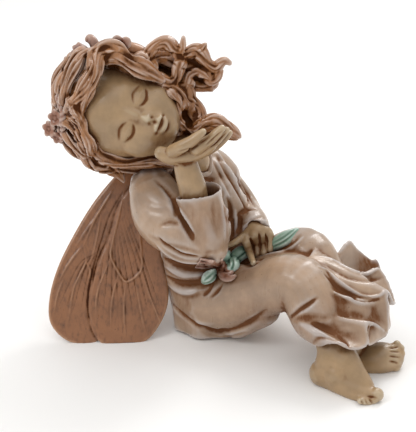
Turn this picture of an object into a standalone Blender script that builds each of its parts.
# Seated fairy figurine: one resin casting of the figure, and two wings glued into slots in her back.
# Metres, +Z up. She sits on the floor with raised knees, blowing a kiss over her open right palm.

import math

import bpy
import bmesh
import numpy as np
from mathutils import Matrix, Vector
from mathutils.bvhtree import BVHTree

# Driving sizes, in metres
FIGURE_HEIGHT = 0.202          # floor to the tip of the highest curl
WING_THICKNESS = 0.0044        # plate of each wing
WING_VEIN = 0.0016             # radius of a raised vein
GLUE_GAP = 0.0003              # clearance between a wing and its slot
CLOTH_WALL = 0.0040            # edge of a cuff and of the hem
FIGURE_FACES = 6900            # facets of the figure
WING_FACES = 1150              # facets of one wing

# The pose is drawn on a grid that is 202 steps high
U = FIGURE_HEIGHT / 202.0
WALL = CLOTH_WALL / U

# Her facing direction on the floor, and her left
FACING = Vector((0.743, -0.669, 0.0))
LEFT = Vector((0.669, 0.743, 0.0))

for old in list(bpy.data.objects):
    bpy.data.objects.remove(old, do_unlink=True)


def smooth_path(points, steps=6, closed=False):
    """Catmull-Rom points through rows of numbers."""
    rows = [np.array(p, dtype=float) for p in points]
    count = len(rows)
    spans = count if closed else count - 1
    out = []
    for i in range(spans):
        if closed:
            a, b, c, d = (rows[(i + k - 1) % count] for k in range(4))
        else:
            a, b = rows[max(i - 1, 0)], rows[i]
            c, d = rows[i + 1], rows[min(i + 2, count - 1)]
        for k in range(steps):
            t = k / steps
            out.append(0.5 * (2 * b + (c - a) * t + (2 * a - 5 * b + 4 * c - d) * t * t
                              + (3 * b - a - 3 * c + d) * t ** 3))
    if not closed:
        out.append(rows[-1])
    return out


class Clay:
    """A heap of closed shells on the pose grid, pressed together into one skin later."""

    def __init__(self):
        self.verts = []
        self.faces = []

    def loft(self, rings):
        """Closed shell through rings of equal length, with a fan at each end."""
        base = len(self.verts)
        size = len(rings[0])
        for ring in rings:
            self.verts.extend(tuple(p) for p in ring)
        for i in range(len(rings) - 1):
            for k in range(size):
                n = (k + 1) % size
                low = base + i * size
                self.faces.append((low + k, low + n, low + size + n, low + size + k))
        for ring, offset, flip in ((rings[0], 0, True), (rings[-1], (len(rings) - 1) * size, False)):
            middle = len(self.verts)
            self.verts.append(tuple(np.mean(np.array(ring, dtype=float), axis=0)))
            for k in range(size):
                n = (k + 1) % size
                edge = (base + offset + k, base + offset + n)
                self.faces.append((edge[1], edge[0], middle) if flip else (edge[0], edge[1], middle))

    def ball(self, centre, radii, axes=None, sides=14):
        """Ellipsoid; axes are three unit vectors, the last one runs through the poles."""
        frame = axes or (Vector((1, 0, 0)), Vector((0, 1, 0)), Vector((0, 0, 1)))
        rings = []
        levels = sides // 2 + 1
        for i in range(levels):
            polar = math.pi * (0.06 + 0.88 * i / (levels - 1))
            ring = []
            for k in range(sides):
                turn = 2 * math.pi * k / sides
                p = Vector(centre)
                p += frame[0] * (radii[0] * math.sin(polar) * math.cos(turn))
                p += frame[1] * (radii[1] * math.sin(polar) * math.sin(turn))
                p -= frame[2] * (radii[2] * math.cos(polar))
                ring.append(p)
            rings.append(ring)
        self.loft(rings)

    def limb(self, path, sides=12, steps=4, flat=None):
        """Round-ended limb through rows of x, y, z and radius; flat is a direction and a share."""
        rows = smooth_path(path, steps)
        places = [Vector(r[:3]) for r in rows]
        sizes = [float(r[3]) for r in rows]
        ahead = [(places[min(i + 1, len(places) - 1)] - places[max(i - 1, 0)]).normalized()
                 for i in range(len(places))]
        side = ahead[0].orthogonal().normalized()
        first = []
        last = []
        rings = []
        for i, here in enumerate(places):
            side = (side - ahead[i] * side.dot(ahead[i])).normalized()
            up = ahead[i].cross(side)
            circle = []
            for k in range(sides):
                turn = 2 * math.pi * k / sides
                spoke = side * math.cos(turn) + up * math.sin(turn)
                if flat:
                    spoke -= Vector(flat[0]) * (spoke.dot(Vector(flat[0])) * (1 - flat[1]))
                circle.append(spoke)
            rings.append([here + spoke * sizes[i] for spoke in circle])
            if i == 0:
                first = circle
            last = circle
        cap = (1.35, 1.0, 0.55)
        start = [[places[0] - ahead[0] * sizes[0] * math.sin(a) + s * sizes[0] * math.cos(a)
                  for s in first] for a in cap]
        end = [[places[-1] + ahead[-1] * sizes[-1] * math.sin(a) + s * sizes[-1] * math.cos(a)
                for s in last] for a in reversed(cap)]
        self.loft(start + rings + end)

    def skin(self, name, voxel, rounds):
        """One closed skin around the whole heap, in metres."""
        mesh = bpy.data.meshes.new(name)
        mesh.from_pydata([tuple(c * U for c in v) for v in self.verts], [], self.faces)
        obj = bpy.data.objects.new(name, mesh)
        bpy.context.collection.objects.link(obj)
        remesh = obj.modifiers.new("press", "REMESH")
        remesh.mode = "VOXEL"
        remesh.voxel_size = voxel * U
        remesh.adaptivity = 0.0
        baked = bpy.data.meshes.new_from_object(obj.evaluated_get(bpy.context.evaluated_depsgraph_get()))
        obj.modifiers.clear()
        obj.data = baked
        bpy.data.meshes.remove(mesh)
        baked.name = name
        relax(baked, rounds)
        return obj


def relax(mesh, rounds):
    """Even out a skin by moving each corner towards the middle of its neighbours."""
    size = len(mesh.vertices)
    co = np.empty(size * 3)
    mesh.vertices.foreach_get("co", co)
    co = co.reshape(-1, 3)
    ends = np.empty(len(mesh.edges) * 2, dtype=np.int64)
    mesh.edges.foreach_get("vertices", ends)
    ends = ends.reshape(-1, 2)
    a = np.concatenate([ends[:, 0], ends[:, 1]])
    b = np.concatenate([ends[:, 1], ends[:, 0]])
    count = np.bincount(a, minlength=size).astype(float)
    for step in range(rounds * 2):
        pull = 0.55 if step % 2 == 0 else -0.52
        mean = np.stack([np.bincount(a, weights=co[b, k], minlength=size) for k in range(3)], axis=1)
        co = co + pull * (mean / count[:, None] - co)
    mesh.vertices.foreach_set("co", co.ravel())
    mesh.update()


def carve(mesh, strokes):
    """Raise or sink a skin along strokes; each is a path, a width and a height on the grid."""
    size = len(mesh.vertices)
    co = np.empty(size * 3)
    mesh.vertices.foreach_get("co", co)
    co = co.reshape(-1, 3)
    normals = np.empty(size * 3)
    mesh.vertex_normals.foreach_get("vector", normals)
    normals = normals.reshape(-1, 3)
    tree = BVHTree.FromPolygons([tuple(v) for v in co], [tuple(p.vertices) for p in mesh.polygons])
    shift = np.zeros(size)
    for path, width, height in strokes:
        rows = smooth_path(path, 8)
        for i, row in enumerate(rows):
            near = tree.find_nearest(Vector(row[:3]) * U)[0]
            fade = math.sin(math.pi * (0.08 + 0.84 * i / (len(rows) - 1)))
            gap = np.linalg.norm(co - np.array(near), axis=1) / (width * U)
            mark = height * U * fade * np.exp(-gap * gap)
            if height > 0:
                shift = np.maximum(shift, mark)
            else:
                shift = np.minimum(shift, mark)
    mesh.vertices.foreach_set("co", (co + normals * shift[:, None]).ravel())
    mesh.update()


def thin_out(obj, faces):
    """Leave about that many facets on a skin."""
    total = sum(len(p.vertices) - 2 for p in obj.data.polygons)
    modifier = obj.modifiers.new("facets", "DECIMATE")
    modifier.ratio = faces / total
    fewer = bpy.data.meshes.new_from_object(obj.evaluated_get(bpy.context.evaluated_depsgraph_get()))
    obj.modifiers.clear()
    old = obj.data
    obj.data = fewer
    bpy.data.meshes.remove(old)


def keep_whole(obj):
    """Drop any crumb that came away from the main skin."""
    bm = bmesh.new()
    bm.from_mesh(obj.data)
    bm.verts.ensure_lookup_table()
    seen = set()
    islands = []
    for start in bm.verts:
        if start in seen:
            continue
        island = {start}
        queue = [start]
        while queue:
            for edge in queue.pop().link_edges:
                for vert in edge.verts:
                    if vert not in island:
                        island.add(vert)
                        queue.append(vert)
        seen |= island
        islands.append(island)
    islands.sort(key=len)
    for crumb in islands[:-1]:
        bmesh.ops.delete(bm, geom=list(crumb), context="VERTS")
    bm.to_mesh(obj.data)
    bm.free()


def stand_flat(obj):
    """Cut the underside level with the floor."""
    bm = bmesh.new()
    bm.from_mesh(obj.data)
    geometry = bm.verts[:] + bm.edges[:] + bm.faces[:]
    bmesh.ops.bisect_plane(bm, geom=geometry, dist=1e-6, plane_co=(0, 0, 0), plane_no=(0, 0, -1),
                           clear_outer=True)
    rim = [e for e in bm.edges if e.is_boundary]
    bmesh.ops.holes_fill(bm, edges=rim, sides=0)
    bmesh.ops.recalc_face_normals(bm, faces=bm.faces[:])
    bm.to_mesh(obj.data)
    bm.free()


def oval(middle, across, deep, sides=28, folds=0, depth=0.0):
    """Level ring: half width towards her left, half depth towards her front."""
    ring = []
    for k in range(sides):
        turn = 2 * math.pi * k / sides
        swell = 1 + depth * math.cos(folds * turn)
        p = Vector(middle)
        p += LEFT * (across * swell * math.cos(turn))
        p += FACING * (deep * swell * math.sin(turn))
        ring.append(p)
    return ring


def cup(clay, path, sides=20, mouth=10.0):
    """Sleeve end: a limb whose last ring turns in over a rim, down to a hollow."""
    rows = smooth_path(path, 5)
    places = [Vector(r[:3]) for r in rows]
    sizes = [float(r[3]) for r in rows]
    ahead = (places[-1] - places[-2]).normalized()
    side = ahead.orthogonal().normalized()
    rings = []
    for i, here in enumerate(places):
        along = (places[min(i + 1, len(places) - 1)] - places[max(i - 1, 0)]).normalized()
        side = (side - along * side.dot(along)).normalized()
        up = along.cross(side)
        rings.append([here + (side * math.cos(t) + up * math.sin(t)) * sizes[i]
                      for t in (2 * math.pi * k / sides for k in range(sides))])
    centre = places[-1]
    for drop, share in ((0.0, 1.0), (0.45, 0.96), (1.0, 0.9)):
        inner = sizes[-1] * share - WALL
        rings.append([centre - ahead * (mouth * drop) + (p - centre).normalized() * inner
                      for p in rings[len(places) - 1]])
    clay.loft(rings)


# The body under the dress, in level rings from the seat to the neck
clay = Clay()
clay.loft([
    oval((4, 0, -4), 25, 22),
    oval((5, -1, 2), 30, 27, folds=9, depth=0.04),
    oval((5, -1, 12), 31, 28, folds=9, depth=0.03),
    oval((3, -1, 24), 30, 28),
    oval((-2, -1, 38), 28, 26),
    oval((-6, -1, 50), 26, 23),
    oval((-8, -1, 66), 25, 21),
    oval((-10, -1, 84), 25, 20),
    oval((-12, -1, 97), 25, 18),
    oval((-13, 0, 105), 20, 14),
    oval((-13, 0, 111), 9, 8),
])
clay.limb([(-13, 0, 102, 9), (-14, -3, 116, 8.5), (-24, -6, 130, 9)])

# Thighs and shins under the cloth
clay.limb([(2, -13, 22, 22), (28, -30, 37, 19), (55, -48, 54, 17), (66, -60, 43, 17), (74, -70, 33, 15)])
clay.limb([(12, 12, 21, 21), (38, 2, 38, 18), (63, -12, 57, 16), (75, -30, 44, 14), (86, -48, 27, 11)])
clay.limb([(30, -14, 34, 18), (56, -30, 48, 16), (72, -46, 40, 15)])
clay.limb([(18, -24, 14, 13), (36, -36, 28, 11)])

# Hem: rim points from her right heel round the front and back behind her left foot
RIM = [(63, -72, 26), (67, -84, 27), (76, -90, 31), (85, -90, 26), (95, -84, 27), (97, -76, 39),
       (109, -68, 31), (112, -58, 44), (110, -48, 56), (119, -38, 40), (118, -28, 50), (112, -22, 55),
       (98, -24, 56), (91, -18, 62), (92, -8, 67), (102, 1, 54), (113, 6, 43), (114, 2, 28),
       (108, -14, 17), (98, -34, 14), (84, -54, 16), (70, -62, 20)]
rim = smooth_path(RIM, 3, closed=True)
KNEES = Vector((60, -32, 48))
middle = Vector(np.mean(np.array(rim), axis=0))
spine = (middle - KNEES).normalized()
across = (LEFT - spine * LEFT.dot(spine)).normalized()
over = across.cross(spine)
CREST = math.atan2((Vector((93, -8, 68)) - KNEES).dot(over), (Vector((93, -8, 68)) - KNEES).dot(across))


def hem_ring(share, inset=0.0):
    """Ring of the flared skirt between the knees and the rim."""
    ring = []
    for i, row in enumerate(rim):
        p = Vector(row)
        arm = p - KNEES
        turn = math.atan2(arm.dot(over), arm.dot(across))
        knee = KNEES + across * (30 * math.cos(turn)) + over * (19 * math.sin(turn))
        fold = 1.3 * share * math.cos(i * 2 * math.pi * 11 / len(rim))
        here = knee.lerp(p, share)
        axis = KNEES + spine * (here - KNEES).dot(spine)
        away = (here - axis).normalized()
        dip = max(0.0, math.cos(turn - CREST)) ** 3
        swell = (5.0 - 23.0 * dip) * math.sin(math.pi * share)
        ring.append(here + away * (fold + swell - inset))
    return ring


clay.loft([hem_ring(s) for s in (0.0, 0.25, 0.5, 0.75, 0.92, 1.0)]
          + [hem_ring(1.0, WALL), hem_ring(0.85, WALL + 1), hem_ring(0.62, WALL + 4), hem_ring(0.5, WALL + 9)])

# Sleeves, cuffs and forearms
clay.limb([(-35, -18, 104, 15), (-27, -32, 91, 19), (-8, -45, 82, 16), (2, -49, 78, 11)])
cup(clay, [(-2, -48, 80, 13), (-3, -47, 90, 13.5), (-6, -45, 103, 13.5), (-7, -44, 116, 15.5)])
clay.limb([(-5, -45, 104, 8), (-8, -44, 120, 7.2), (-13, -43, 133, 7.5)])
clay.limb([(0, 17, 100, 14), (10, 27, 87, 13.5), (20, 32, 73, 13), (25, 20, 69, 12)])
cup(clay, [(24, 24, 69, 11), (27, 12, 69, 12.5), (29, 2, 70, 14)], mouth=7.0)
clay.limb([(29, 10, 68, 6.5), (34, -4, 69, 6)])

# Right hand, palm up under the chin
clay.ball((-14, -43, 138), (15, 10, 5.5), (Vector((0.96, 0.02, 0.28)), Vector((0, 1, 0)),
                                           Vector((-0.28, 0, 0.96))))
clay.limb([(-26, -44, 136, 6), (-16, -43, 134, 7)])
for finger in ([(-4, -48, 142, 3.7), (4, -48, 149, 3.3), (11, -45, 155, 2.7)],
               [(-3, -43, 141, 3.8), (7, -43, 147, 3.4), (14, -41, 151, 2.8)],
               [(-3, -39, 138, 3.6), (6, -38, 142, 3.2), (13, -37, 146, 2.7)],
               [(-4, -35, 135, 3.3), (3, -34, 138, 3.0), (9, -34, 142, 2.5)],
               [(-24, -50, 140, 4.5), (-16, -55, 146, 4.2), (-9, -56, 151, 3.4), (-3, -55, 154, 2.6)]):
    clay.limb(finger, sides=8)

# Left hand resting on the lap
clay.ball((36, -9, 66), (8, 11, 6))
for finger in ([(30, -14, 65, 3.3), (29, -21, 61, 3.1), (31, -27, 55, 2.6)],
               [(35, -15, 64, 3.4), (35, -21, 61, 3.1), (35, -25, 56, 2.6)],
               [(39, -14, 64, 3.3), (40, -19, 61, 3.0), (40, -23, 57, 2.6)],
               [(43, -11, 63, 3.0), (44, -16, 61, 2.8), (44, -20, 58, 2.4)],
               [(31, -8, 66, 3.4), (23, -13, 66, 3.2), (15, -18, 64, 2.6)]):
    clay.limb(finger, sides=8)


def flower(clay, middle, facing, reach, petals=5, lift=0.35):
    """Ring of rounded petals about a small button."""
    axis = Vector(facing).normalized()
    side = axis.orthogonal().normalized()
    up = axis.cross(side)
    clay.ball(middle, (reach * 0.36, reach * 0.36, reach * 0.36))
    for k in range(petals):
        turn = 2 * math.pi * k / petals
        spoke = side * math.cos(turn) + up * math.sin(turn)
        width = axis.cross(spoke)
        out = (spoke + axis * lift).normalized()
        thin = out.cross(width).normalized()
        clay.ball(Vector(middle) + out * reach * 0.62, (reach * 0.5, reach * 0.46, 1.6),
                  (out, width, thin))


def leaf(clay, path, thin, share=0.3):
    """Pointed leaf as a flattened limb."""
    clay.limb(path, flat=(Vector(thin).normalized(), share))


# Bouquet on the lap: one open flower, leaves and a bundle of stems
flower(clay, (11, -31, 59), (-0.2, -0.75, 0.6), 9.5)
leaf(clay, [(12, -30, 56, 3), (6, -34, 54, 5), (-1, -37, 51, 1.2)], (0.1, -0.5, 0.85), 0.4)
leaf(clay, [(17, -25, 60, 2.5), (22, -23, 64, 4.5), (28, -20, 68, 1.2)], (-0.3, -0.6, 0.7), 0.4)
clay.limb([(14, -30, 58, 3), (22, -27, 60, 3), (40, -18, 63, 3)])
clay.limb([(16, -27, 56, 3), (26, -24, 57, 3), (42, -14, 62, 3)])
leaf(clay, [(42, -18, 61, 2.5), (50, -18, 66, 4.5), (58, -15, 74, 1.2)], (-0.4, -0.6, 0.7), 0.45)
leaf(clay, [(43, -14, 60, 2.5), (52, -20, 63, 4), (59, -22, 68, 1.2)], (-0.3, -0.5, 0.8), 0.45)

# Feet
for heel, ball, ankle, roll, big in (((72, -78, 8.5), (87, -93, 5.5), (77, -78, 22), 0.0, 1),
                                     ((88, -58, 9), (108, -62, 10), (88, -54, 24), 0.45, -1)):
    heel, ball, ankle = Vector(heel), Vector(ball), Vector(ankle)
    ahead = (ball - heel).normalized()
    flat_side = Vector((-ahead.y, ahead.x, 0)).normalized()
    wide = (flat_side * math.cos(roll) + Vector((0, 0, 1)) * math.sin(roll)).normalized()
    up = ahead.cross(wide).normalized()
    clay.limb([(*heel, 9.5), (*(heel.lerp(ball, 0.5) + up * 2.5), 8.5), (*ball, 7.5)])
    clay.ball(ball, (10, 11, 6), (ahead, wide, up))
    clay.limb([(*ankle, 11), (*(ankle.lerp(heel, 0.5) + ahead * 5), 10), (*(heel + ahead * 9), 7.5)])
    for k in range(5):
        spread = (k - 2) * 4.6 * big
        size = 4.2 - 0.32 * k
        reach = 15.0 - 1.3 * k - (1.5 if k == 0 else 0)
        base = ball + ahead * 5 - wide * spread
        clay.limb([(*base, size * 0.9), (*(base + ahead * reach * 0.6 - up * 0.5), size)], sides=8)

# Head: axes run to the crown, to her left ear and out of the face
UPWARD = Vector((-0.92, -0.02, 0.39)).normalized()
OUTWARD = Vector((0.15, -0.93, 0.33))
OUTWARD = (OUTWARD - UPWARD * OUTWARD.dot(UPWARD)).normalized()
EAR = UPWARD.cross(OUTWARD)
HEAD = Vector((-51, -10, 151))


def face(ear, up, out):
    """Place on the head in shares of its half height, 36 grid steps."""
    return HEAD + EAR * ear * 36 + UPWARD * up * 36 + OUTWARD * out * 36


AXES = (EAR, UPWARD, OUTWARD)
clay.ball(face(0, 0.12, -0.05), (30, 32, 33), AXES, sides=20)
clay.ball(face(0, -0.38, 0.32), (21, 21, 19), AXES, sides=16)
for side in (-1, 1):
    clay.ball(face(0.42 * side, -0.32, 0.5), (11, 11, 10), AXES)
    clay.ball(face(0.33 * side, -0.02, 0.72), (7.5, 4.2, 5), AXES)
clay.ball(face(0, -0.82, 0.52), (7, 5, 6), AXES)
clay.limb([(*face(0, 0.06, 0.82), 2.6), (*face(0, -0.12, 0.92), 3.6)])
clay.ball(face(0, -0.2, 0.92), (5, 3, 4), AXES)
for low, wide in ((-0.48, 0.14), (-0.59, 0.11)):
    clay.limb([(*face(-wide, low, 0.84), 2.0), (*face(0, low, 0.9), 2.7), (*face(wide, low, 0.84), 2.0)])

# Hair: a cap behind the face, and locks that are swept up and out to the right
clay.ball(face(0, 0.2, -0.3), (35, 36, 32), AXES, sides=20)
LOCKS = [
    [(-65, -36, 182, 3.5), (-62, -28, 193, 6), (-54, -27, 195, 6.5), (-45, -27, 192, 6), (-36, -25, 185, 5),
     (-27, -20, 175, 4)],
    [(-62, -14, 189, 7), (-50, -13, 190, 8), (-38, -13, 185, 8), (-27, -10, 176, 7)],
    [(-66, -28, 178, 6), (-54, -26, 186, 7), (-42, -24, 183, 7), (-31, -18, 172, 7)],
    [(-52, 0, 184, 8), (-36, 2, 182, 8), (-24, 0, 172, 7)],
    [(-42, -20, 180, 5.5), (-33, -19, 187, 5.5), (-25, -15, 194, 5), (-17, -14, 191, 4.5), (-15, -15, 201, 1.5)],
    [(-36, -20, 178, 5.5), (-24, -17, 172, 6), (-17, -15, 180, 5), (-9, -13, 190, 5), (-1, -10, 195, 2)],
    [(-32, -14, 169, 6), (-18, -12, 167, 6.5), (-8, -10, 182, 6), (3, -8, 179, 5), (9, -8, 182, 3), (14, -8, 183, 1.5)],
    [(-28, -6, 164, 7), (-14, -4, 164, 7), (-3, -4, 174, 6), (4, -4, 168, 5), (-4, -3, 163, 4)],
    [(-38, -3, 180, 8), (-24, 1, 182, 8), (-8, 2, 180, 7), (2, 3, 170, 5)],
    [(-26, -12, 164, 6), (-12, -9, 159, 6), (-11, -11, 151, 5), (-5, -12, 147, 3.5), (-5, -14, 140, 1.5)],
    [(-26, -16, 163, 6), (-15, -14, 153, 6), (-15, -17, 141, 5.5), (-7, -19, 140, 5), (5, -23, 150, 5),
     (13, -24, 148, 4), (20, -20, 139, 1.5)],
    [(-22, -6, 158, 9), (-18, -6, 145, 9), (-20, -8, 130, 8)],
    [(-70, -30, 141, 4), (-66, -28, 132, 5.5), (-52, -25, 124, 6), (-36, -22, 122, 6), (-18, -16, 118, 4)],
    [(-78, -18, 138, 5), (-68, -17, 125, 5.5), (-52, -16, 119, 5.5), (-30, -12, 117, 5)],
    [(-83, -12, 141, 4.5), (-72, -12, 126, 5), (-61, -13, 119, 4.5), (-53, -14, 107, 1.5)],
    [(-88, -20, 154, 4), (-79, -29, 146, 4.5), (-70, -31, 131, 4.5)],
    [(-82, -32, 160, 4), (-74, -38, 150, 4.5), (-68, -35, 135, 4)],
    [(-65, -17, 191, 5), (-80, -12, 182, 5.5), (-91, -8, 165, 5), (-94, -8, 152, 4)],
    [(-63, -27, 190, 5), (-78, -26, 180, 5), (-88, -20, 164, 4.5)],
]
for lock in LOCKS:
    clay.limb(lock, sides=10)
for k in range(9):
    swing = math.radians(-84 + 21 * k)
    lock = []
    for step in range(7):
        rise = math.radians(82 - 26 * step)
        wave = 3.0 * math.sin(step * 1.5 + k)
        spoke = UPWARD * math.sin(rise) + (EAR * math.sin(swing) - OUTWARD * math.cos(swing)) * math.cos(rise)
        lock.append((*(face(0, 0.2, -0.3) + spoke * 31 + EAR * wave), 5.5 - 0.3 * step))
    clay.limb(lock, sides=10)

# Wreath: a twisted vine with leaves and small flowers at the crown
clay.limb([(-93, -16, 160, 3), (-91, -22, 150, 3), (-89, -20, 141, 3), (-84, -12, 134, 3)], sides=8)
leaf(clay, [(-56, -16, 189, 4), (-52, -18, 195, 7), (-48, -19, 201, 2.5)], OUTWARD, 0.45)
leaf(clay, [(-66, -12, 189, 4), (-70, -12, 194, 5), (-74, -12, 199, 1.8)], OUTWARD, 0.5)
for spot, way in (((-80, -9, 189), (-0.5, -0.6, 0.6)), ((-97, -10, 142), (-0.8, -0.6, 0.1)),
                  ((-92, -18, 152), (-0.7, -0.7, 0.2))):
    flower(clay, spot, way, 7.0)

# Folds of the dress, as strokes on the skin
FOLDS = [
    ([(-30, -20, 66), (-18, -42, 58), (0, -45, 56), (16, -38, 60)], 3.2, -2.6),
    ([(-28, -22, 55), (-16, -40, 48), (2, -42, 46)], 3.0, -2.8),
    ([(-28, -24, 44), (-20, -38, 38), (-2, -44, 32), (24, -44, 34), (42, -50, 42)], 3.2, -2.4),
    ([(-26, -26, 30), (-14, -38, 22), (8, -44, 18), (30, -46, 24), (44, -54, 34)], 3.2, -2.4),
    ([(-24, -26, 18), (-8, -38, 10), (12, -42, 9), (28, -44, 18)], 3.0, -2.0),
    ([(-45, -25, 100), (-32, -42, 88), (-14, -55, 72)], 3.2, -2.0),
    ([(-36, -32, 106), (-24, -44, 94), (-8, -56, 78)], 3.0, -2.0),
    ([(-13, -50, 106), (-12, -52, 94), (-9, -54, 84)], 2.4, -3.0),
    ([(-2, -58, 100), (0, -58, 88), (2, -60, 78)], 2.4, -1.6),
    ([(66, -56, 58), (82, -62, 48), (94, -70, 40)], 3.4, -2.6),
    ([(68, -48, 62), (86, -50, 54), (102, -54, 50)], 3.4, -2.6),
    ([(70, -36, 64), (84, -36, 60), (98, -36, 56)], 3.2, -2.4),
    ([(60, -66, 46), (70, -76, 36), (80, -86, 34)], 3.0, -2.2),
    ([(20, 34, 96), (30, 38, 84), (34, 38, 72)], 2.6, -1.6),
    ([(-34, 14, 90), (-36, 16, 70), (-30, 18, 50), (-28, 20, 30)], 3.2, -2.0),
    ([(-20, 26, 86), (-20, 30, 66), (-14, 32, 46), (-8, 34, 26)], 3.2, -2.0),
    ([(-2, 32, 80), (2, 34, 60), (10, 36, 40), (14, 38, 22)], 3.2, -2.0),
]

figure = clay.skin("figure", 1.5, 3)
carve(figure.data, FOLDS)
keep_whole(figure)
thin_out(figure, FIGURE_FACES)
stand_flat(figure)

# Wings: outlines of the fore and the hind lobe, as x and z on the grid
FORE = [(-45, 108), (-56, 102), (-75, 82), (-91, 58), (-100, 40), (-104, 24), (-103, 12), (-95, 3),
        (-84, -1), (-73, 0), (-64, 12), (-58, 40), (-50, 72)]
HIND = [(-42, 98), (-57, 84), (-65, 62), (-73, 44), (-78, 26), (-77, 12), (-70, 0), (-56, -2), (-43, -1),
        (-34, 6), (-27, 19), (-26, 34), (-30, 52), (-33, 74), (-36, 92)]
VEINS = [
    (0, [(-46, 98), (-60, 76), (-72, 52), (-80, 36), (-86, 20), (-88, 8)]),
    (0, [(-72, 52), (-84, 38), (-92, 28)]),
    (0, [(-66, 62), (-68, 44), (-76, 26), (-78, 6)]),
    (1, [(-45, 90), (-52, 66), (-56, 44), (-50, 32), (-43, 30), (-36, 38), (-36, 62)]),
    (1, [(-56, 44), (-64, 28), (-67, 14)]),
    (1, [(-52, 35), (-57, 18), (-58, 6)]),
    (1, [(-46, 30), (-48, 16), (-46, 4)]),
    (1, [(-40, 33), (-37, 18), (-36, 8)]),
]
# The plate leans: its foot comes forward of the root, and its tip a little forward of its foot
WING_ROOT = Vector((-36, 16, 92))


def wing_depth(x, z):
    """How far back a place on the right wing lies."""
    drop = (92 - z) / 92
    return 16 - 44 * drop + 0.08 * (x + 50) * drop


def wing_clay(grow):
    """Both lobes, the root tab and the veins of the right wing, grown on all sides by that much."""
    heap = Clay()
    thick = WING_THICKNESS / U / 2 + grow
    for index, outline in enumerate((FORE, HIND)):
        edge = smooth_path(outline, 3, closed=True)
        centre = np.mean(np.array(edge), axis=0)
        lift = 1.6 if index == 0 else -1.6
        rings = []
        for share, half in ((0.0, 1.0), (0.55, 1.0), (0.93, 0.9), (1.0, 0.45)):
            rings.append((share, half))
        front = []
        for share, half in rings[1:]:
            ring = []
            for row in edge:
                x, z = centre + (row - centre) * share
                away = np.array(row) - centre
                away = away / np.linalg.norm(away)
                x, z = x + away[0] * grow, z + away[1] * grow
                ring.append((x, wing_depth(x, z) + lift - thick * half, z))
            front.append(ring)
        back = []
        for share, half in reversed(rings[1:]):
            ring = []
            for row in edge:
                x, z = centre + (row - centre) * share
                away = np.array(row) - centre
                away = away / np.linalg.norm(away)
                x, z = x + away[0] * grow, z + away[1] * grow
                ring.append((x, wing_depth(x, z) + lift + thick * half, z))
            back.append(ring)
        heap.loft(front + back)
    heap.limb([(-48, 14, 90, 4 + grow), (-38, 13, 90, 4.4 + grow), (-29, 9, 90, 4 + grow)])
    for side, path in VEINS:
        lift = 1.6 if side == 0 else -1.6
        rows = []
        for i, (x, z) in enumerate(path):
            radius = WING_VEIN / U * (1.0 - 0.35 * i / (len(path) - 1)) + grow
            for face_side in (-1, 1):
                rows.append((face_side, (x, wing_depth(x, z) + lift + face_side * thick * 0.85, z, radius)))
        for face_side in (-1, 1):
            heap.limb([row for flag, row in rows if flag == face_side], sides=6, steps=3)
    return heap


def mirror_left(obj):
    """Turn a copy of the right wing into the left one, across her middle."""
    twin = bpy.data.objects.new("left", obj.data.copy())
    bpy.context.collection.objects.link(twin)
    middle = Vector((-13, 0, 0)) * U
    for vertex in twin.data.vertices:
        aside = (vertex.co - middle).dot(LEFT)
        vertex.co = vertex.co - LEFT * (2 * aside)
    twin.data.flip_normals()
    return twin


right_wing = wing_clay(0.0).skin("right_wing", 1.1, 2)
thin_out(right_wing, WING_FACES)
stand_flat(right_wing)
left_wing = mirror_left(right_wing)
left_wing.name = "left_wing"

# Slots for the wing roots, wider than the gap by what two faceted skins can differ
slots = []
for name, sign in (("right_slot", 1), ("left_slot", -1)):
    slot = wing_clay(GLUE_GAP / U + 0.8).skin(name, 1.2, 1)
    thin_out(slot, 1200)
    if sign < 0:
        other = mirror_left(slot)
        bpy.data.objects.remove(slot, do_unlink=True)
        slot = other
        slot.name = name
    cut = figure.modifiers.new(name, "BOOLEAN")
    cut.operation = "DIFFERENCE"
    cut.solver = "EXACT"
    cut.object = slot
    slots.append(slot)
whole = figure.data
figure.data = bpy.data.meshes.new_from_object(figure.evaluated_get(bpy.context.evaluated_depsgraph_get()))
figure.modifiers.clear()
bpy.data.meshes.remove(whole)
for slot in slots:
    bpy.data.objects.remove(slot, do_unlink=True)
keep_whole(figure)


def paint(obj, name, colour, roughness):
    """Material of one casting."""
    material = bpy.data.materials.new(name)
    material.use_nodes = True
    shader = material.node_tree.nodes["Principled BSDF"]
    shader.inputs["Base Color"].default_value = (*colour, 1.0)
    shader.inputs["Roughness"].default_value = roughness
    shader.inputs["Metallic"].default_value = 0.0
    obj.data.materials.clear()
    obj.data.materials.append(material)
    for polygon in obj.data.polygons:
        polygon.use_smooth = True


paint(figure, "painted_resin", (0.36, 0.25, 0.16), 0.35)
paint(right_wing, "wing_resin", (0.24, 0.13, 0.07), 0.35)
paint(left_wing, "left_wing_resin", (0.24, 0.13, 0.07), 0.35)

# Put the middle of the whole piece over the origin
stand = bpy.data.objects.new("fairy", None)
bpy.context.collection.objects.link(stand)
spots = [v.co for obj in (figure, right_wing, left_wing) for v in obj.data.vertices]
for k in range(2):
    stand.location[k] = -(min(p[k] for p in spots) + max(p[k] for p in spots)) / 2
for obj in list(bpy.context.collection.objects):
    if obj.type == "MESH":
        obj.parent = stand
